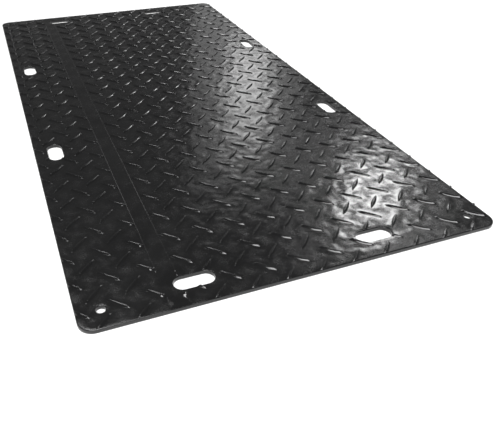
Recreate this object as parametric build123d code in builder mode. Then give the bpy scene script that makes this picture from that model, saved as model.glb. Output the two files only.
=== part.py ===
from build123d import *

import os

# Plate
mat_width = 1220.0
mat_length = 2440.0
plate_thickness = 12.7
corner_radius = 40.0
edge_bevel = 2.0

# Hand slots: two near each short end, two along each long side
slot_length = 112.0
slot_width = 50.0
end_slot_inset = 82.0
left_end_slot_inset = 307.0
right_end_slot_inset = 375.0
side_slot_inset = 70.0
side_slot_from_near_end = 868.0
side_slot_spacing = 802.0

# Connector holes, one in each corner
corner_hole_diameter = 25.0
corner_hole_inset = 62.0

# Diamond tread: two sets of spindle lugs that lean opposite ways
lug_length = 76.0
lug_width = 13.0
lug_height = 4.5
lug_taper_length = 25.0
lug_crest_setback = 12.0
lug_lean = 45.0
lug_root_depth = 1.0
tread_pitch_across = 98.0
tread_pitch_along = 104.0
first_lug_from_left = 8.0
first_lug_from_near_end = 66.0
opening_land = 2.0
smallest_kept_lug = 0.4

# Smooth strip along the mat, with no tread on it, between two fine ribs
strip_from_left = 223.0
strip_width = 48.0
rib_width = 4.0
rib_height = 1.0
rib_flank_angle = 45.0
left_rib_end_inset = 142.0
right_rib_end_inset = 110.0

# Sunken bare panel at the near end of the smooth strip
panel_width = 52.0
panel_length = 40.0
panel_depth = 0.6
panel_end_inset = 8.0

left_edge = -mat_width / 2
right_edge = mat_width / 2
near_edge = -mat_length / 2
far_edge = mat_length / 2
strip_left = left_edge + strip_from_left
strip_right = strip_left + strip_width
strip_middle = (strip_left + strip_right) / 2
panel_middle = near_edge + panel_end_inset + panel_length / 2

end_slot_columns = (left_edge + left_end_slot_inset, right_edge - right_end_slot_inset)
end_slot_rows = (near_edge + end_slot_inset, far_edge - end_slot_inset)
end_slot_places = [(x, y) for x in end_slot_columns for y in end_slot_rows]
side_slot_columns = (left_edge + side_slot_inset, right_edge - side_slot_inset)
nearer_side_slot = near_edge + side_slot_from_near_end
side_slot_rows = (nearer_side_slot, nearer_side_slot + side_slot_spacing)
side_slot_places = [(x, y) for x in side_slot_columns for y in side_slot_rows]
corner_hole_places = GridLocations(
    mat_width - 2 * corner_hole_inset, mat_length - 2 * corner_hole_inset, 2, 2
)


def openings(margin):
    """The slots and connector holes as sketch faces, larger all round by the margin."""
    with BuildSketch(mode=Mode.PRIVATE) as faces:
        with Locations(*end_slot_places):
            SlotOverall(slot_length + 2 * margin, slot_width + 2 * margin)
        with Locations(*side_slot_places):
            SlotOverall(slot_length + 2 * margin, slot_width + 2 * margin, rotation=90)
        with corner_hole_places:
            Circle(corner_hole_diameter / 2 + margin)
    return faces.sketch


def lug_places(first_x, first_y):
    """Lug centres over the whole mat, one tread pitch apart, starting at the given centre."""
    across = int((right_edge - first_x + lug_length / 2) // tread_pitch_across) + 1
    along = int((far_edge - first_y + lug_length / 2) // tread_pitch_along) + 1
    return [
        (first_x + column * tread_pitch_across, first_y + row * tread_pitch_along)
        for column in range(across)
        for row in range(along)
    ]


# The bare plate: round corners, bevelled upper edge, slots and holes cut right through
with BuildPart() as plate:
    with BuildSketch():
        RectangleRounded(mat_width, mat_length, corner_radius)
    extrude(amount=plate_thickness)
    chamfer(plate.faces().sort_by(Axis.Z)[-1].edges(), edge_bevel)
    with BuildSketch():
        add(openings(0))
    extrude(amount=plate_thickness, mode=Mode.SUBTRACT)

# One tread lug: a peaked ridge with its four end corners cut away to a point
with BuildPart() as lug:
    root_half_width = lug_width / 2 * (1 + lug_root_depth / lug_height)
    with BuildSketch(Plane.YZ):
        Polygon(
            (-root_half_width, -lug_root_depth),
            (root_half_width, -lug_root_depth),
            (0, lug_height),
            align=None,
        )
    extrude(amount=lug_length, both=True)
    for end in (-1, 1):
        for side in (-1, 1):
            tip = Vector(end * lug_length / 2, 0, 0)
            shoulder = Vector(end * (lug_length / 2 - lug_taper_length), side * lug_width / 2, 0)
            crest_end = Vector(end * (lug_length / 2 - lug_crest_setback), 0, lug_height)
            outward = (shoulder - tip).cross(crest_end - tip) * (end * side)
            split(bisect_by=Plane(origin=tip, z_dir=outward), keep=Keep.BOTTOM)

# The flat ground where tread may stand, clear of edges, openings, strip and panel
with BuildSketch() as tread_ground:
    RectangleRounded(
        mat_width - 2 * edge_bevel, mat_length - 2 * edge_bevel, corner_radius - edge_bevel
    )
    add(openings(opening_land), mode=Mode.SUBTRACT)
    with Locations((strip_middle, 0)):
        Rectangle(strip_width + rib_width, mat_length, mode=Mode.SUBTRACT)
    with Locations((strip_middle, panel_middle)):
        Rectangle(panel_width, panel_length, mode=Mode.SUBTRACT)

# A lug stands whole where its centre is on the mat and over half its length from every border
ground_borders = tread_ground.wires()
down_hill = lug_places(left_edge + first_lug_from_left, near_edge + first_lug_from_near_end)
up_hill = lug_places(
    left_edge + first_lug_from_left + tread_pitch_across / 2,
    near_edge + first_lug_from_near_end - tread_pitch_along / 2,
)
whole_lugs = []
border_lugs = []
for x, y, lean in [(*p, -lug_lean) for p in down_hill] + [(*p, lug_lean) for p in up_hill]:
    over_mat = abs(x) < mat_width / 2 and abs(y) < mat_length / 2
    clearance = min(border.distance_to(Vector(x, y, 0)) for border in ground_borders)
    lugs = whole_lugs if over_mat and clearance > lug_length / 2 else border_lugs
    lugs.append(Location((x, y, plate_thickness), (0, 0, lean)))

# The lugs near a border are trimmed to the ground, and the smallest scraps are left out
with BuildPart() as trimmed_tread:
    with Locations(*border_lugs):
        add(lug.part)
    with BuildSketch(Plane.XY.offset(plate_thickness - lug_root_depth)):
        add(tread_ground.sketch)
    extrude(amount=lug_root_depth + lug_height, mode=Mode.INTERSECT)
kept_pieces = [
    piece for piece in trimmed_tread.solids() if piece.volume > smallest_kept_lug * lug.part.volume
]

# The whole mat in one piece
with BuildPart() as mat:
    add(plate.part)
    for rib_x, end_inset in ((strip_left, left_rib_end_inset), (strip_right, right_rib_end_inset)):
        with BuildSketch(Plane.XY.offset(plate_thickness)):
            with Locations((rib_x, 0)):
                Rectangle(rib_width, mat_length - 2 * end_inset)
        extrude(amount=rib_height, taper=rib_flank_angle)
    with BuildSketch(Plane.XY.offset(plate_thickness)):
        with Locations((strip_middle, panel_middle)):
            Rectangle(panel_width, panel_length)
    extrude(amount=-panel_depth, mode=Mode.SUBTRACT)
    add(kept_pieces)
    with Locations(*whole_lugs):
        add(lug.part)

os.makedirs("parts", exist_ok=True)
mat.part.label = "mat"
export_step(mat.part, "parts/mat.step")
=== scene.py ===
import math

import bpy
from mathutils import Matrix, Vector, geometry


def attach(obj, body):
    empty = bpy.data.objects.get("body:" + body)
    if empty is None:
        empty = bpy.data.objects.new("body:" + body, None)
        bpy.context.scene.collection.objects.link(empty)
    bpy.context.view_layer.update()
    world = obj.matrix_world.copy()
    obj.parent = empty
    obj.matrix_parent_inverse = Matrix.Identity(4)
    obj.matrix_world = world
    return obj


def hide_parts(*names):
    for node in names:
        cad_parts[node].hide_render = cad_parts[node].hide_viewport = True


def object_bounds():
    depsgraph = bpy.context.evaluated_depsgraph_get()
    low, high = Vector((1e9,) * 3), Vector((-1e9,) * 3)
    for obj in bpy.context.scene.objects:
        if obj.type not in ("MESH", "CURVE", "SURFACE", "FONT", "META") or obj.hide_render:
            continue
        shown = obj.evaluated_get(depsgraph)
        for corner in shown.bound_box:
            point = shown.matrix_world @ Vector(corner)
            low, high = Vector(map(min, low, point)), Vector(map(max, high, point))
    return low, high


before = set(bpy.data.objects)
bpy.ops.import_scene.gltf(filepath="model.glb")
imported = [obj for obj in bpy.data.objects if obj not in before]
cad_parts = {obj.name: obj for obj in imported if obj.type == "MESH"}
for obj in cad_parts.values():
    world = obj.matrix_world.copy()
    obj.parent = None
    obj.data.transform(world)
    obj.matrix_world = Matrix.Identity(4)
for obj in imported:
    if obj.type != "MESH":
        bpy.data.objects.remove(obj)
cad_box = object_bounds()

# All sizes are in metres. The mat's middle is over the origin and its underside is at height 0.

# Plate
MAT_HALF_WIDTH = round(cad_box[1][0], 4)
MAT_HALF_LENGTH = round(cad_box[1][1], 4)
PLATE_TOP = 0.0127
CORNER_RADIUS = 0.040
TOP_EDGE_ROUNDING = 0.0028
UNDER_EDGE_ROUNDING = 0.0012
RIM_ROUNDING = 0.0016

# Hand slots and connector holes
SLOT_HALF_LENGTH = 0.056
SLOT_HALF_WIDTH = 0.025
END_SLOT_INSET = 0.082
LEFT_END_SLOT_INSET = 0.307
RIGHT_END_SLOT_INSET = 0.375
SIDE_SLOT_INSET = 0.070
SIDE_SLOT_FROM_NEAR_END = 0.868
SIDE_SLOT_SPACING = 0.802
HOLE_INSET = 0.062
HOLE_RADIUS = 0.0125
END_SLOT_X = (LEFT_END_SLOT_INSET - MAT_HALF_WIDTH, MAT_HALF_WIDTH - RIGHT_END_SLOT_INSET)
END_SLOT_Y = (END_SLOT_INSET - MAT_HALF_LENGTH, MAT_HALF_LENGTH - END_SLOT_INSET)
SIDE_SLOT_X = (SIDE_SLOT_INSET - MAT_HALF_WIDTH, MAT_HALF_WIDTH - SIDE_SLOT_INSET)
NEARER_SIDE_SLOT = SIDE_SLOT_FROM_NEAR_END - MAT_HALF_LENGTH
SIDE_SLOT_Y = (NEARER_SIDE_SLOT, NEARER_SIDE_SLOT + SIDE_SLOT_SPACING)
HOLE_X = (HOLE_INSET - MAT_HALF_WIDTH, MAT_HALF_WIDTH - HOLE_INSET)
HOLE_Y = (HOLE_INSET - MAT_HALF_LENGTH, MAT_HALF_LENGTH - HOLE_INSET)
# round shapes keep a hair of straight, so that no two points of an outline fall together
HAIR = 1e-5

# Smooth strip with its two ribs, and the sunken bare panel at its near end
STRIP_FROM_LEFT = 0.223
STRIP_WIDTH = 0.048
STRIP_LEFT = STRIP_FROM_LEFT - MAT_HALF_WIDTH
STRIP_RIGHT = STRIP_LEFT + STRIP_WIDTH
RIB_WIDTH = 0.004
RIB_HEIGHT = 0.0009
RIB_FOOT = 0.0006
RIB_SEGMENTS = 90
LEFT_RIB_END_INSET = 0.142
RIGHT_RIB_END_INSET = 0.110
LEFT_RIB_REACH = MAT_HALF_LENGTH - LEFT_RIB_END_INSET
RIGHT_RIB_REACH = MAT_HALF_LENGTH - RIGHT_RIB_END_INSET
PANEL_INSET = 0.028
PANEL_MIDDLE = ((STRIP_LEFT + STRIP_RIGHT) / 2, PANEL_INSET - MAT_HALF_LENGTH)
PANEL_HALF_SIZE = (0.0245, 0.0185)
PANEL_CORNER_RADIUS = 0.002
PANEL_DEPTH = 0.0005
PANEL_SLOPE = 0.0009

# Tread
LUG_HALF_LENGTH = 0.038
LUG_HALF_WIDTH = 0.0068
LUG_HEIGHT = 0.0045
LUG_SINK = 0.0012
LUG_CLEARANCE = 0.002
LUG_SIDES = 10
PITCH_ACROSS = 0.098
PITCH_ALONG = 0.104
TREAD_COLUMNS = 13
TREAD_ROWS = 24
FIRST_LUG_INSET = (0.008, 0.066)
FIRST_LUG = (FIRST_LUG_INSET[0] - MAT_HALF_WIDTH, FIRST_LUG_INSET[1] - MAT_HALF_LENGTH)
LUG_LEAN = math.radians(45)
SMALLEST_LUG_AREA = 0.00034

# Waves of the plate's top: a low mound round each lug, and ripples that die out at borders
WAVE_GRID = 0.0092
WAVE_GRID_CLEARANCE = 0.0035
WAVE_FADE_AT_BORDER = 0.016
WAVE_FADE_AT_STRIP = 0.012
MOUND_RADIUS = 0.015
MOUND_MIDDLE = 0.3
NATURAL_BASE = 2.718
SWELL = 0.0003
RIPPLE = 0.0015
BROAD_RIPPLE_SCALE = 9.0
FINE_RIPPLE_SCALE = 22.0
FINE_RIPPLE_SHARE = 0.9


# Outlines


def corner_arc(x, y, radius, start, turn, steps):
    """Points along an arc round (x, y), from the start angle through the turn."""
    return [
        (
            x + radius * math.cos(start + turn * i / steps),
            y + radius * math.sin(start + turn * i / steps),
        )
        for i in range(steps + 1)
    ]


class RoundedBox:
    """A rectangle with round corners that can be drawn smaller or larger all round."""

    def __init__(self, x, y, half_x, half_y, radius, arc_steps, spacing):
        self.x, self.y = x, y
        self.half_x, self.half_y, self.radius = half_x, half_y, radius
        self.arc_steps, self.spacing = arc_steps, spacing

    def outline(self, grow):
        """The outline's points, counter-clockwise, with as many points at any growth."""
        base = self.points_at(0)
        moved = self.points_at(grow)
        parts = [
            max(1, math.ceil(math.dist(base[i], base[(i + 1) % len(base)]) / self.spacing))
            for i in range(len(base))
        ]
        out = []
        for i, (ax, ay) in enumerate(moved):
            bx, by = moved[(i + 1) % len(moved)]
            out += [
                (ax + (bx - ax) * k / parts[i], ay + (by - ay) * k / parts[i])
                for k in range(parts[i])
            ]
        return out

    def points_at(self, grow):
        """The points of the four corner arcs alone."""
        inner_x, inner_y = self.half_x - self.radius, self.half_y - self.radius
        points = []
        for quarter, (sx, sy) in enumerate(((1, 1), (-1, 1), (-1, -1), (1, -1))):
            arc = corner_arc(
                self.x + sx * inner_x,
                self.y + sy * inner_y,
                self.radius + grow,
                quarter * math.pi / 2,
                math.pi / 2,
                self.arc_steps,
            )
            points += arc
        return points

    def distance(self, x, y):
        """Distance outside the outline, below zero inside it."""
        over_x = abs(x - self.x) - (self.half_x - self.radius)
        over_y = abs(y - self.y) - (self.half_y - self.radius)
        outside = math.hypot(max(over_x, 0), max(over_y, 0))
        return outside + min(max(over_x, over_y), 0) - self.radius


def slot_at(x, y, along_x):
    """A hand slot, lying across the mat or along it."""
    long, short = SLOT_HALF_LENGTH, SLOT_HALF_WIDTH
    half_x, half_y = (long, short) if along_x else (short, long)
    return RoundedBox(x, y, half_x, half_y, short - HAIR, arc_steps=10, spacing=0.012)


def hole_at(x, y):
    """A round connector hole."""
    radius = HOLE_RADIUS
    return RoundedBox(x, y, radius, radius, radius - HAIR, arc_steps=8, spacing=0.012)


def edge_with_points(spacing):
    """The mat's outer edge, with points at most that far apart along its straights."""
    return RoundedBox(
        0, 0, MAT_HALF_WIDTH, MAT_HALF_LENGTH, CORNER_RADIUS, arc_steps=12, spacing=spacing
    )


mat_edge = edge_with_points(0.020)
panel = RoundedBox(
    *PANEL_MIDDLE, *PANEL_HALF_SIZE, PANEL_CORNER_RADIUS, arc_steps=3, spacing=0.012
)
openings = [slot_at(x, y, True) for x in END_SLOT_X for y in END_SLOT_Y]
openings += [slot_at(x, y, False) for x in SIDE_SLOT_X for y in SIDE_SLOT_Y]
openings += [hole_at(x, y) for x in HOLE_X for y in HOLE_Y]


# Plate and ribs


def fill_flat(loops, inside, loose_points=()):
    """Triangles that fill a flat region with the given outlines; inside(x, y) tells the region."""
    points, edges = [], []
    for loop in loops:
        first = len(points)
        points += [Vector(p) for p in loop]
        count = len(loop)
        edges += [(first + i, first + (i + 1) % count) for i in range(count)]
    points += [Vector(p) for p in loose_points]
    found, _, faces, originals, _, _ = geometry.delaunay_2d_cdt(points, edges, [], 0, 1e-7)
    place = {i: source[0] for i, source in enumerate(originals) if source}
    kept = []
    for face in faces:
        middle = sum((found[i] for i in face), Vector((0, 0))) / 3
        if inside(middle.x, middle.y):
            a, b, c = (found[i] for i in face)
            turned = (b - a).cross(c - a) < 0
            corners = [place[i] for i in face]
            kept.append(corners[::-1] if turned else corners)
    return points, kept


def on_top(x, y):
    """Whether a point lies on the plate's flat top, clear of edge, openings and panel."""
    return (
        mat_edge.distance(x, y) < -TOP_EDGE_ROUNDING
        and all(o.distance(x, y) > RIM_ROUNDING for o in openings)
        and panel.distance(x, y) > 0
    )


def on_panel_floor(x, y):
    """Whether a point lies on the flat floor of the sunken panel."""
    return panel.distance(x, y) < -PANEL_SLOPE


def on_underside(x, y):
    """Whether a point lies on the flat underside, clear of its rounded edge and rims."""
    return mat_edge.distance(x, y) < -UNDER_EDGE_ROUNDING and all(
        o.distance(x, y) > UNDER_EDGE_ROUNDING for o in openings
    )


def room_on_top(x, y):
    """Distance to the nearest border of the flat top."""
    room = -TOP_EDGE_ROUNDING - mat_edge.distance(x, y)
    return min([room, panel.distance(x, y)] + [o.distance(x, y) - RIM_ROUNDING for o in openings])


def waviness(x, y):
    """How much of the plate's waves show at a point: none at its borders and on the strip."""
    beside_strip = max(STRIP_LEFT - x, x - STRIP_RIGHT) - RIB_WIDTH
    at_border = room_on_top(x, y) / WAVE_FADE_AT_BORDER
    return max(0.0, min(1.0, at_border, beside_strip / WAVE_FADE_AT_STRIP))


def join_rings(faces, lower, upper):
    """Quads between two rings of vertex numbers; seen from outside, upper is above lower."""
    count = len(lower)
    for i in range(count):
        j = (i + 1) % count
        faces.append((lower[i], lower[j], upper[j], upper[i]))


def build_plate():
    """The plate as one closed skin: wavy top, rounded edges and rims, walls and underside."""
    vertices, faces, wave = [], [], []

    def ring(outline, height):
        """New points at one height, with no waves; gives their numbers."""
        first = len(vertices)
        vertices.extend((x, y, height) for x, y in outline)
        wave.extend([0.0] * len(outline))
        return list(range(first, len(vertices)))

    def rounded_wall(shape, side, top_rounding, under_rounding):
        """Rings from the top rim down to the underside rim. side is -1 for the outer edge."""
        rings = []
        top_steps, under_steps = 4, 2
        for i in range(top_steps + 1):
            turn = math.pi / 2 * i / top_steps
            grow = side * top_rounding * (1 - math.sin(turn))
            height = PLATE_TOP - top_rounding * (1 - math.cos(turn))
            rings.append(ring(shape.outline(grow), height))
        for i in range(under_steps + 1):
            turn = math.pi / 2 * i / under_steps
            grow = side * under_rounding * (1 - math.cos(turn))
            height = under_rounding * (1 - math.sin(turn))
            rings.append(ring(shape.outline(grow), height))
        for upper, lower in zip(rings, rings[1:]):
            if side < 0:
                join_rings(faces, lower, upper)
            else:
                join_rings(faces, upper, lower)
        return rings[0], rings[-1]

    top_rims, under_rims = [], []
    for shape, side in [(mat_edge, -1)] + [(o, 1) for o in openings]:
        rounding = TOP_EDGE_ROUNDING if side < 0 else RIM_ROUNDING
        top, under = rounded_wall(shape, side, rounding, UNDER_EDGE_ROUNDING)
        top_rims.append(top)
        under_rims.append(under)

    # the panel is a shallow tray with sloped sides
    panel_rim = ring(panel.outline(0), PLATE_TOP)
    panel_floor = ring(panel.outline(-PANEL_SLOPE), PLATE_TOP - PANEL_DEPTH)
    join_rings(faces, panel_rim, panel_floor)
    top_rims.append(panel_rim)

    def flat(height, rims, inside, loose=(), facing_up=True):
        """A flat region between rims, with loose points that the waves can lift later."""
        loops = [[vertices[i][:2] for i in rim] for rim in rims]
        points, triangles = fill_flat(loops, inside, loose)
        numbers = [i for rim in rims for i in rim]
        for x, y in loose:
            numbers.append(len(vertices))
            vertices.append((x, y, height))
            wave.append(waviness(x, y))
        for triangle in triangles:
            corners = [numbers[i] for i in triangle]
            faces.append(tuple(corners if facing_up else corners[::-1]))

    columns = round(2 * MAT_HALF_WIDTH / WAVE_GRID)
    rows = round(2 * MAT_HALF_LENGTH / WAVE_GRID)
    loose = []
    for column in range(1, columns):
        for row in range(1, rows):
            stagger = 0.25 * (row % 2)
            x = -MAT_HALF_WIDTH + 2 * MAT_HALF_WIDTH * (column + stagger) / columns
            y = -MAT_HALF_LENGTH + 2 * MAT_HALF_LENGTH * row / rows
            if room_on_top(x, y) > WAVE_GRID_CLEARANCE:
                loose.append((x, y))
    flat(PLATE_TOP, top_rims, on_top, loose)
    flat(PLATE_TOP - PANEL_DEPTH, [panel_floor], on_panel_floor)
    flat(0.0, under_rims, on_underside, facing_up=False)

    mesh = bpy.data.meshes.new("plate")
    mesh.from_pydata(vertices, [], faces)
    mesh.attributes.new("wave_share", "FLOAT", "POINT").data.foreach_set("value", wave)
    mesh.update()
    return mesh


def build_rib(x, reach):
    """One fine rib: a low bead with its foot in the plate, along the smooth strip's border."""
    half = RIB_WIDTH / 2
    section = [(-half, -RIB_FOOT), (-half * 0.7, RIB_HEIGHT * 0.45), (-half * 0.3, RIB_HEIGHT)]
    section += [(-sx, sz) for sx, sz in reversed(section)]
    vertices, faces = [], []
    for i in range(RIB_SEGMENTS + 1):
        y = -reach + 2 * reach * i / RIB_SEGMENTS
        vertices += [(x + sx, y, PLATE_TOP + sz) for sx, sz in section]
    count = len(section)
    for i in range(RIB_SEGMENTS):
        for k in range(count):
            a, b = i * count + k, i * count + (k + 1) % count
            faces.append((a, a + count, b + count, b))
    faces.append(tuple(range(count)))
    last = RIB_SEGMENTS * count
    faces.append(tuple(range(last, last + count))[::-1])
    return vertices, faces


def build_ribs():
    """Both ribs as one mesh."""
    vertices, faces = build_rib(STRIP_LEFT, LEFT_RIB_REACH)
    more_vertices, more_faces = build_rib(STRIP_RIGHT, RIGHT_RIB_REACH)
    first = len(vertices)
    faces += [tuple(first + i for i in face) for face in more_faces]
    mesh = bpy.data.meshes.new("ribs")
    mesh.from_pydata(vertices + more_vertices, [], faces)
    mesh.update()
    return mesh


# Tread


def build_lug():
    """One lens-shaped tread lug along X, with its crest arched and its foot in the plate."""
    sides = LUG_SIDES
    half = sides // 2
    # each ring of the flank: half length, half width, height, and fullness of its outline
    levels = [
        (LUG_HALF_LENGTH + 0.0018, LUG_HALF_WIDTH + 0.0016, -LUG_SINK, 0.85),
        (LUG_HALF_LENGTH + 0.0002, LUG_HALF_WIDTH + 0.0002, 0.0002, 0.85),
        (LUG_HALF_LENGTH - 0.0022, LUG_HALF_WIDTH - 0.0010, 0.0011, 0.85),
        (LUG_HALF_LENGTH - 0.0058, LUG_HALF_WIDTH * 0.32, LUG_HEIGHT * 0.88, 0.55),
    ]
    vertices, faces = [], []
    for reach, width, height, fullness in levels:
        for i in range(sides):
            turn = 2 * math.pi * i / sides
            x = reach * math.cos(turn)
            side = math.copysign(1, math.sin(turn)) if i % half else 0
            y = side * width * (1 - (x / reach) ** 2) ** fullness
            vertices.append((x, y, height))
    crest_reach = LUG_HALF_LENGTH - 0.0080
    for i in range(1, half):
        x = crest_reach * math.cos(2 * math.pi * i / sides)
        vertices.append((x, 0, LUG_HEIGHT * (1 - 0.05 * (x / crest_reach) ** 2)))
    for level in range(len(levels) - 1):
        lower = range(level * sides, (level + 1) * sides)
        upper = range((level + 1) * sides, (level + 2) * sides)
        join_rings(faces, list(lower), list(upper))
    top, crest = (len(levels) - 1) * sides, len(levels) * sides
    faces.append((top, top + 1, crest))
    faces.append((top + sides - 1, top, crest))
    for i in range(1, half - 1):
        faces.append((top + i, top + i + 1, crest + i, crest + i - 1))
        faces.append((crest + i - 1, crest + i, top + sides - i - 1, top + sides - i))
    faces.append((top + half - 1, top + half, crest + half - 2))
    faces.append((top + half, top + half + 1, crest + half - 2))
    faces.append(tuple(range(sides))[::-1])
    mesh = bpy.data.meshes.new("lug")
    mesh.from_pydata(vertices, [], faces)
    mesh.update()
    return mesh


def build_tread_room():
    """A closed slab over the flat ground where tread may stand, which the border lugs are cut to."""
    whole_side = 9
    past_the_ends = 0.02
    strip = RoundedBox(
        (STRIP_LEFT + STRIP_RIGHT) / 2,
        0,
        (STRIP_RIGHT - STRIP_LEFT + RIB_WIDTH) / 2,
        MAT_HALF_LENGTH + past_the_ends,
        0.0005,
        arc_steps=1,
        spacing=whole_side,
    )
    edge = edge_with_points(whole_side)

    def inside(x, y):
        """Whether a point lies on the ground where tread may stand."""
        return (
            edge.distance(x, y) < -LUG_CLEARANCE
            and strip.distance(x, y) > 0
            and all(o.distance(x, y) > LUG_CLEARANCE for o in openings)
        )

    loops = [edge.outline(-LUG_CLEARANCE)] + [o.outline(LUG_CLEARANCE) for o in openings]
    loops.append(strip.outline(0))
    points, edges = [], []
    for loop in loops:
        first = len(points)
        points += [Vector(p) for p in loop]
        edges += [(first + i, first + (i + 1) % len(loop)) for i in range(len(loop))]
    found, _, triangles, _, _, _ = geometry.delaunay_2d_cdt(points, edges, [], 0, 1e-7)
    low, high = PLATE_TOP - 2 * LUG_SINK, PLATE_TOP + 2 * LUG_HEIGHT
    count = len(found)
    vertices = [(p.x, p.y, low) for p in found] + [(p.x, p.y, high) for p in found]
    faces, sides = [], {}
    for triangle in triangles:
        middle = sum((found[i] for i in triangle), Vector((0, 0))) / 3
        if not inside(middle.x, middle.y):
            continue
        a, b, c = triangle
        if (found[b] - found[a]).cross(found[c] - found[a]) < 0:
            a, c = c, a
        faces += [(c, b, a), (a + count, b + count, c + count)]
        for pair in ((a, b), (b, c), (c, a)):
            sides[pair] = True
    for a, b in sides:
        if (b, a) not in sides:
            faces.append((a, b, b + count, a + count))
    used = sorted({i for face in faces for i in face})
    number = {old: new for new, old in enumerate(used)}
    mesh = bpy.data.meshes.new("tread room")
    mesh.from_pydata(
        [vertices[i] for i in used], [], [tuple(number[i] for i in face) for face in faces]
    )
    mesh.update()
    return mesh


def put_in_scene(name, mesh):
    """A new object with that mesh, linked to the scene."""
    made = bpy.data.objects.new(name, mesh)
    bpy.context.scene.collection.objects.link(made)
    return made


class NodeTree:
    """A Geometry Nodes tree with short calls for adding nodes and links."""

    def __init__(self, name):
        self.tree = bpy.data.node_groups.new(name, "GeometryNodeTree")
        self.tree.interface.new_socket("Plate", in_out="INPUT", socket_type="NodeSocketGeometry")
        self.tree.interface.new_socket("Mat", in_out="OUTPUT", socket_type="NodeSocketGeometry")
        self.inlet = self.tree.nodes.new("NodeGroupInput")
        self.outlet = self.tree.nodes.new("NodeGroupOutput")

    def size(self, name, kind):
        """A named input of the tree."""
        self.tree.interface.new_socket(name, in_out="INPUT", socket_type=kind)
        return self.inlet.outputs[name]

    def add(self, kind, settings=None, **inputs):
        """A node; an input may be a value or another node's output."""
        node = self.tree.nodes.new(kind)
        for name, value in (settings or {}).items():
            setattr(node, name, value)
        for key, value in inputs.items():
            self.feed(node, key.replace("_", " "), value)
        return node

    def feed(self, node, key, value):
        """Gives a node's input a value, or links another node's output to it."""
        socket = node.inputs[key]
        if isinstance(value, bpy.types.NodeSocket):
            self.tree.links.new(value, socket)
        else:
            socket.default_value = value

    def math(self, operation, a, b=None):
        """One arithmetic step."""
        node = self.tree.nodes.new("ShaderNodeMath")
        node.operation = operation
        self.feed(node, 0, a)
        if b is not None:
            self.feed(node, 1, b)
        return node.outputs[0]

    def join(self, *parts):
        """Several geometries as one."""
        node = self.tree.nodes.new("GeometryNodeJoinGeometry")
        for part in parts:
            self.tree.links.new(part, node.inputs[0])
        return node.outputs[0]


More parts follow.
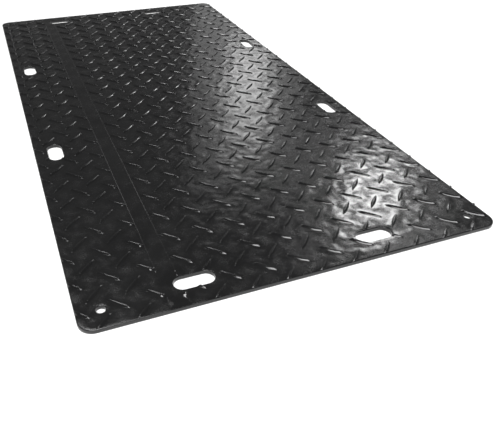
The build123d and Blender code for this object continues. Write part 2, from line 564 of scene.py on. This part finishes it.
def tread_tree():
    """Lugs on two lattices, trimmed at the borders, over a plate that swells gently round them."""
    t = NodeTree("diamond tread")
    lug = t.size("Lug", "NodeSocketObject")
    room = t.size("Tread Room", "NodeSocketObject")
    ribs = t.size("Ribs", "NodeSocketObject")
    finish = t.size("Finish", "NodeSocketMaterial")
    across = t.size("Pitch Across", "NodeSocketFloat")
    along = t.size("Pitch Along", "NodeSocketFloat")
    columns = t.size("Columns", "NodeSocketInt")
    rows = t.size("Rows", "NodeSocketInt")
    first = t.size("First Lug", "NodeSocketVector")
    lean = t.size("Lean", "NodeSocketFloat")
    half_length = t.size("Half Length", "NodeSocketFloat")
    smallest = t.size("Smallest Lug Area", "NodeSocketFloat")
    swell = t.size("Swell", "NodeSocketFloat")
    ripple = t.size("Ripple", "NodeSocketFloat")

    lug_mesh = t.add("GeometryNodeObjectInfo", Object=lug).outputs["Geometry"]
    room_mesh = t.add("GeometryNodeObjectInfo", Object=room).outputs["Geometry"]
    rib_mesh = t.add("GeometryNodeObjectInfo", Object=ribs).outputs["Geometry"]

    width = t.math("MULTIPLY", t.math("SUBTRACT", columns, 1), across)
    length = t.math("MULTIPLY", t.math("SUBTRACT", rows, 1), along)

    def lattice(half_step_x, half_step_y):
        """Lug centres one pitch apart, shifted by shares of a pitch from the first lug."""
        grid = t.add("GeometryNodeMeshGrid", Vertices_X=columns, Vertices_Y=rows)
        t.feed(grid, "Size X", width)
        t.feed(grid, "Size Y", length)
        step_x = t.math("MULTIPLY", across, half_step_x)
        step_y = t.math("MULTIPLY", along, half_step_y)
        shift_x = t.math("ADD", t.math("MULTIPLY", width, 0.5), step_x)
        shift_y = t.math("ADD", t.math("MULTIPLY", length, 0.5), step_y)
        corner = t.add("ShaderNodeCombineXYZ", X=shift_x, Y=shift_y)
        place = t.add("ShaderNodeVectorMath", {"operation": "ADD"})
        t.feed(place, 0, corner.outputs[0])
        t.feed(place, 1, first)
        moved = t.add("GeometryNodeTransform", Geometry=grid.outputs["Mesh"])
        t.feed(moved, "Translation", place.outputs[0])
        points = t.add("GeometryNodeMeshToPoints", Mesh=moved.outputs[0])
        return points.outputs[0]

    falling = lattice(0.0, 0.0)
    rising = lattice(0.5, -0.5)

    # a lug stands whole where its centre is over the mat and clear of every border
    border = t.add("GeometryNodeProximity", {"target_element": "EDGES"})
    edge_angle = t.add("GeometryNodeInputMeshEdgeAngle").outputs["Unsigned Angle"]
    sharp = t.math("GREATER_THAN", edge_angle, 1.0)
    rim = t.add("GeometryNodeSeparateGeometry", {"domain": "EDGE"})
    t.feed(rim, "Geometry", room_mesh)
    t.feed(rim, "Selection", sharp)
    t.feed(border, 0, rim.outputs["Selection"])
    position = t.add("GeometryNodeInputPosition").outputs[0]
    flat = t.add("ShaderNodeSeparateXYZ", Vector=position)
    room_floor = PLATE_TOP - 2 * LUG_SINK
    level = t.add("ShaderNodeCombineXYZ", X=flat.outputs[0], Y=flat.outputs[1], Z=room_floor)
    t.feed(border, "Sample Position", level.outputs[0])
    in_x = t.math("LESS_THAN", t.math("ABSOLUTE", flat.outputs[0]), MAT_HALF_WIDTH)
    in_y = t.math("LESS_THAN", t.math("ABSOLUTE", flat.outputs[1]), MAT_HALF_LENGTH)
    clear = t.math("GREATER_THAN", border.outputs["Distance"], half_length)
    whole = t.math("MULTIPLY", clear, t.math("MULTIPLY", in_x, in_y))

    def stand_lugs(points, turn, shape):
        """A copy of the shape on each point, turned about the upright."""
        spin = t.add("ShaderNodeCombineXYZ", Z=turn)
        node = t.add("GeometryNodeInstanceOnPoints", Points=points, Instance=shape)
        t.feed(node, "Rotation", spin.outputs[0])
        return t.add("GeometryNodeRealizeInstances", Geometry=node.outputs[0]).outputs[0]

    lean_back = t.math("MULTIPLY", lean, -1.0)
    whole_parts, border_parts, axes = [], [], []
    axis_share = 0.72
    reach = t.add("ShaderNodeCombineXYZ", X=t.math("MULTIPLY", half_length, axis_share))
    reach_back = t.add("ShaderNodeCombineXYZ", X=t.math("MULTIPLY", half_length, -axis_share))
    axis = t.add("GeometryNodeMeshLine", {"mode": "END_POINTS"}, Count=2)
    t.feed(axis, "Start Location", reach_back.outputs[0])
    t.feed(axis, "Offset", reach.outputs[0])
    for points, turn in ((falling, lean_back), (rising, lean)):
        split = t.add("GeometryNodeSeparateGeometry", {"domain": "POINT"})
        t.feed(split, "Geometry", points)
        t.feed(split, "Selection", whole)
        whole_parts.append(stand_lugs(split.outputs["Selection"], turn, lug_mesh))
        border_parts.append(stand_lugs(split.outputs["Inverted"], turn, lug_mesh))
        axes.append(stand_lugs(points, turn, axis.outputs[0]))

    # border lugs are cut to the tread's room, and the smallest scraps are left out
    cut = t.add("GeometryNodeMeshBoolean", {"operation": "INTERSECT", "solver": "EXACT"})
    t.tree.links.new(t.join(*border_parts), cut.inputs["Mesh 2"])
    t.tree.links.new(room_mesh, cut.inputs["Mesh 2"])
    island = t.add("GeometryNodeInputMeshIsland").outputs["Island Index"]
    face_area = t.add("GeometryNodeInputMeshFaceArea").outputs[0]
    total = t.add("GeometryNodeAccumulateField", {"data_type": "FLOAT", "domain": "FACE"})
    t.feed(total, 0, face_area)
    t.feed(total, "Group ID", island)
    small = t.math("LESS_THAN", total.outputs["Total"], smallest)
    trimmed = t.add("GeometryNodeDeleteGeometry", {"domain": "FACE"})
    t.feed(trimmed, "Geometry", cut.outputs["Mesh"])
    t.feed(trimmed, "Selection", small)

    # the plate's top swells a little towards each lug and ripples between them
    to_lug = t.add("GeometryNodeProximity", {"target_element": "EDGES"})
    t.feed(to_lug, 0, t.join(*axes))
    here = t.add("ShaderNodeCombineXYZ", X=flat.outputs[0], Y=flat.outputs[1], Z=PLATE_TOP)
    t.feed(to_lug, "Sample Position", here.outputs[0])
    near = t.math("DIVIDE", to_lug.outputs["Distance"], MOUND_RADIUS)
    fall_off = t.math("MULTIPLY", t.math("MULTIPLY", near, near), -1.0)
    mound = t.math("POWER", NATURAL_BASE, fall_off)
    broad = t.add("ShaderNodeTexNoise", Scale=BROAD_RIPPLE_SCALE, Detail=0.0)
    fine = t.add("ShaderNodeTexNoise", Scale=FINE_RIPPLE_SCALE, Detail=0.0)
    ripples = t.math(
        "ADD",
        t.math("SUBTRACT", broad.outputs[0], 0.5),
        t.math("MULTIPLY", t.math("SUBTRACT", fine.outputs[0], 0.5), FINE_RIPPLE_SHARE),
    )
    mound_lift = t.math("MULTIPLY", t.math("SUBTRACT", mound, MOUND_MIDDLE), swell)
    lift = t.math("ADD", mound_lift, t.math("MULTIPLY", ripples, ripple))
    share = t.add("GeometryNodeInputNamedAttribute", {"data_type": "FLOAT"}, Name="wave_share")
    lift = t.math("MULTIPLY", lift, share.outputs["Attribute"])
    offset = t.add("ShaderNodeCombineXYZ", Z=lift)
    waved = t.add("GeometryNodeSetPosition", Geometry=t.inlet.outputs["Plate"])
    t.feed(waved, "Offset", offset.outputs[0])

    everything = t.join(waved.outputs[0], rib_mesh, *whole_parts, trimmed.outputs[0])
    smooth = t.add("GeometryNodeSetShadeSmooth", Geometry=everything)
    realized = t.add("GeometryNodeRealizeInstances", Geometry=smooth.outputs[0])
    marked = t.add("GeometryNodeStoreNamedAttribute", {"data_type": "FLOAT"})
    t.feed(marked, "Geometry", realized.outputs[0])
    t.feed(marked, "Name", "lug_distance")
    t.feed(marked, "Value", to_lug.outputs["Distance"])
    painted = t.add("GeometryNodeSetMaterial", Geometry=marked.outputs[0], Material=finish)
    t.tree.links.new(painted.outputs[0], t.outlet.inputs["Mat"])
    return t.tree


def set_inputs(modifier, values):
    """Sets a nodes modifier's inputs by the sockets' own identifiers."""
    for item in modifier.node_group.interface.items_tree:
        if item.item_type == "SOCKET" and item.in_out == "INPUT" and item.name in values:
            modifier[item.identifier] = values[item.name]


# Material


def black_polyethylene():
    """Black moulded plastic: glossy by the lugs, satin between them, with faint rubs and dust."""
    material = bpy.data.materials.new("black polyethylene")
    material.use_nodes = True
    nodes, links = material.node_tree.nodes, material.node_tree.links
    shader = nodes["Principled BSDF"]
    place = nodes.new("ShaderNodeTexCoord").outputs["Object"]

    def noise_of(scale, detail, roughness=0.5, vector=None):
        """A soft random pattern fixed to the mat."""
        node = nodes.new("ShaderNodeTexNoise")
        node.inputs["Scale"].default_value = scale
        node.inputs["Detail"].default_value = detail
        node.inputs["Roughness"].default_value = roughness
        links.new(vector or place, node.inputs["Vector"])
        return node.outputs[0]

    def from_mesh(name):
        """A value that the mesh carries at each point."""
        node = nodes.new("ShaderNodeAttribute")
        node.attribute_name = name
        return node.outputs["Fac"]

    def between(value, low, high, out_low, out_high):
        """The value stretched from one range to another, and held within it."""
        node = nodes.new("ShaderNodeMapRange")
        node.inputs["From Min"].default_value = low
        node.inputs["From Max"].default_value = high
        node.inputs["To Min"].default_value = out_low
        node.inputs["To Max"].default_value = out_high
        links.new(value, node.inputs["Value"])
        return node.outputs[0]

    def combine(operation, a, b):
        """One arithmetic step on two values."""
        node = nodes.new("ShaderNodeMath")
        node.operation = operation
        for i, value in enumerate((a, b)):
            if isinstance(value, bpy.types.NodeSocket):
                links.new(value, node.inputs[i])
            else:
                node.inputs[i].default_value = value
        return node.outputs[0]

    def stretched(turn, scale):
        """Places turned about the upright and drawn out, for streaks that run one way."""
        node = nodes.new("ShaderNodeMapping")
        node.inputs["Rotation"].default_value = (0, 0, math.radians(turn))
        node.inputs["Scale"].default_value = scale
        links.new(place, node.inputs["Vector"])
        return node.outputs[0]

    def bump_of(height, strength, distance, normal=None):
        """A bump of that height, on top of another bump where one is given."""
        node = nodes.new("ShaderNodeBump")
        if isinstance(strength, bpy.types.NodeSocket):
            links.new(strength, node.inputs["Strength"])
        else:
            node.inputs["Strength"].default_value = strength
        node.inputs["Distance"].default_value = distance
        links.new(height, node.inputs["Height"])
        if normal:
            links.new(normal, node.inputs["Normal"])
        return node.outputs[0]

    clouds = noise_of(7.0, 4.0, 0.6)
    blotches = noise_of(38.0, 3.0, 0.55)
    streaks_one = noise_of(3.0, 6.0, 0.7, stretched(28, (9, 160, 60)))
    streaks_two = noise_of(3.0, 6.0, 0.7, stretched(-63, (7, 190, 60)))
    rubs_one = between(streaks_one, 0.60, 0.74, 0.0, 1.0)
    rubs_two = between(streaks_two, 0.62, 0.76, 0.0, 1.0)
    worn = between(clouds, 0.42, 0.66, 0.15, 1.0)
    rubs = combine("MULTIPLY", combine("MAXIMUM", rubs_one, rubs_two), worn)

    # black, greyed a little by dust and rubs
    colour = nodes.new("ShaderNodeMix")
    colour.data_type = "RGBA"
    colour.inputs["A"].default_value = (0.0085, 0.0085, 0.0087, 1)
    colour.inputs["B"].default_value = (0.022, 0.022, 0.022, 1)
    dust = combine("ADD", between(clouds, 0.40, 0.72, 0.0, 0.25), combine("MULTIPLY", rubs, 0.4))
    links.new(dust, colour.inputs["Factor"])
    links.new(colour.outputs["Result"], shader.inputs["Base Color"])

    # the roughness grows from each lug to the middle of the ground between the lugs
    jitter = between(noise_of(70.0, 2.0), 0.3, 0.7, -0.006, 0.006)
    from_lug = combine("ADD", from_mesh("lug_distance"), jitter)
    by_distance = between(from_lug, 0.008, 0.028, 0.12, 0.26)
    roughness = combine("ADD", by_distance, between(blotches, 0.3, 0.7, -0.05, 0.05))
    roughness = combine("ADD", roughness, combine("MULTIPLY", rubs, 0.12))
    links.new(roughness, shader.inputs["Roughness"])
    shader.inputs["IOR"].default_value = 1.52

    # a fine grain everywhere, over soft dimples in the ground between the lugs
    grain = combine("ADD", noise_of(620.0, 2.0), combine("MULTIPLY", noise_of(150.0, 2.0), 0.8))
    grain = combine("ADD", grain, combine("MULTIPLY", rubs, 0.35))
    clear_of_lugs = between(from_lug, 0.007, 0.020, 0.1, 1.0)
    open_ground = combine("MULTIPLY", from_mesh("wave_share"), clear_of_lugs)
    dimples = bump_of(noise_of(42.0, 0.0), open_ground, 0.0015)
    links.new(bump_of(grain, 0.15, 0.0003, dimples), shader.inputs["Normal"])
    return material


# Mat

tread = tread_tree()
working = put_in_scene("mat_in_work", build_plate())
lug_object = put_in_scene("lug_shape", build_lug())
room_object = put_in_scene("tread_room", build_tread_room())
rib_object = put_in_scene("rib_shape", build_ribs())
modifier = working.modifiers.new("tread", "NODES")
modifier.node_group = tread
set_inputs(
    modifier,
    {
        "Lug": lug_object,
        "Tread Room": room_object,
        "Ribs": rib_object,
        "Finish": black_polyethylene(),
        "Pitch Across": PITCH_ACROSS,
        "Pitch Along": PITCH_ALONG,
        "Columns": TREAD_COLUMNS,
        "Rows": TREAD_ROWS,
        "First Lug": (*FIRST_LUG, PLATE_TOP),
        "Lean": LUG_LEAN,
        "Half Length": LUG_HALF_LENGTH,
        "Smallest Lug Area": SMALLEST_LUG_AREA,
        "Swell": SWELL,
        "Ripple": RIPPLE,
    },
)
settled = working.evaluated_get(bpy.context.evaluated_depsgraph_get())
mat_mesh = bpy.data.meshes.new_from_object(settled)
for helper in (working, lug_object, room_object, rib_object):
    bpy.data.objects.remove(helper)
mat = put_in_scene("moulded_mat", mat_mesh)
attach(mat, "root")
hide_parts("mat")


# Studio


def plain_floor():
    """A wide pale floor that takes the mat's shadow and shows near white where it is seen."""
    material = bpy.data.materials.new("pale floor")
    material.use_nodes = True
    nodes, links = material.node_tree.nodes, material.node_tree.links
    shader = nodes["Principled BSDF"]
    shader.inputs["Base Color"].default_value = (0.80, 0.80, 0.80, 1)
    shader.inputs["Roughness"].default_value = 0.9
    shader.inputs["Specular IOR Level"].default_value = 0.0
    shader.inputs["Emission Color"].default_value = (1, 1, 1, 1)
    # the extra white shows to the camera and in reflections, and lights nothing
    rays = nodes.new("ShaderNodeLightPath")
    seen = rays.outputs["Is Camera Ray"]
    for name in ("Is Glossy Ray", "Is Transmission Ray"):
        either = nodes.new("ShaderNodeMath")
        either.operation = "MAXIMUM"
        links.new(seen, either.inputs[0])
        links.new(rays.outputs[name], either.inputs[1])
        seen = either.outputs[0]
    lift = nodes.new("ShaderNodeMath")
    lift.operation = "MULTIPLY"
    lift.inputs[1].default_value = 0.30
    links.new(seen, lift.inputs[0])
    links.new(lift.outputs[0], shader.inputs["Emission Strength"])
    half = 30.0
    mesh = bpy.data.meshes.new("floor")
    mesh.from_pydata(
        [(-half, -half, 0), (half, -half, 0), (half, half, 0), (-half, half, 0)],
        [],
        [(0, 1, 2, 3)],
    )
    floor = put_in_scene("floor", mesh)
    floor.data.materials.append(material)


def soft_box(name, place, aim, width, height, watts):
    """A rectangular studio lamp at a place, turned to face the aim."""
    light = bpy.data.lights.new(name, "AREA")
    light.shape = "RECTANGLE"
    light.size, light.size_y = width, height
    light.energy = watts
    lamp = bpy.data.objects.new(name, light)
    bpy.context.scene.collection.objects.link(lamp)
    lamp.location = place
    lamp.rotation_euler = (Vector(aim) - Vector(place)).to_track_quat("-Z", "Y").to_euler()


def pale_room():
    """A room that is pale near the horizon and dim above, as a studio with low white walls."""
    world = bpy.data.worlds.new("studio room")
    bpy.context.scene.world = world
    world.use_nodes = True
    nodes, links = world.node_tree.nodes, world.node_tree.links
    background = nodes["Background"]
    direction = nodes.new("ShaderNodeTexCoord").outputs["Generated"]
    split = nodes.new("ShaderNodeSeparateXYZ")
    links.new(direction, split.inputs[0])
    ramp = nodes.new("ShaderNodeValToRGB")
    ramp.color_ramp.elements[0].position = 0.06
    ramp.color_ramp.elements[0].color = (0.42, 0.42, 0.42, 1)
    ramp.color_ramp.elements[1].position = 0.26
    ramp.color_ramp.elements[1].color = (0.10, 0.10, 0.10, 1)
    links.new(split.outputs[2], ramp.inputs[0])
    links.new(ramp.outputs[0], background.inputs["Color"])
    background.inputs["Strength"].default_value = 1.0


plain_floor()
pale_room()

# The right lamps and their wide dim glows mirror in the plate as its two bright patches
soft_box("behind", (-1.9, -5.2, 6.0), (0, 0, 0), 5.0, 5.0, 800)
soft_box("right", (2.36, 1.40, 1.99), (0.38, -0.97, 0), 0.50, 0.48, 9.5)
soft_box("right_glow", (2.46, 1.52, 2.09), (0.38, -0.97, 0), 1.5, 1.6, 3.5)
soft_box("far_right", (1.48, 2.42, 1.27), (0.29, -0.32, 0), 0.38, 0.90, 3.2)
soft_box("far_right_glow", (1.60, 2.69, 1.30), (0.29, -0.32, 0), 1.1, 2.2, 4)
soft_box("far_left", (-1.5, 3.4, 8.2), (0, 0, 0), 2.6, 1.8, 220)
soft_box("side", (5.6, 3.0, 6.0), (0, 0, 0), 2.0, 1.6, 18)

# The camera stands off the near left corner, looks down along the mat and is tipped 0.3 degrees
camera_data = bpy.data.cameras.new("camera")
camera = bpy.data.objects.new("camera", camera_data)
bpy.context.scene.collection.objects.link(camera)
camera.location = (-0.64294, -2.13665, 0.96694 + PLATE_TOP)
camera.rotation_euler = [math.radians(angle) for angle in (53.7757, -0.3153, -20.7567)]
camera_data.sensor_width = 36.0
camera_data.lens = 40.4056
camera_data.shift_x = 0.0764
bpy.context.scene.camera = camera
bpy.context.scene.view_settings.view_transform = "Standard"
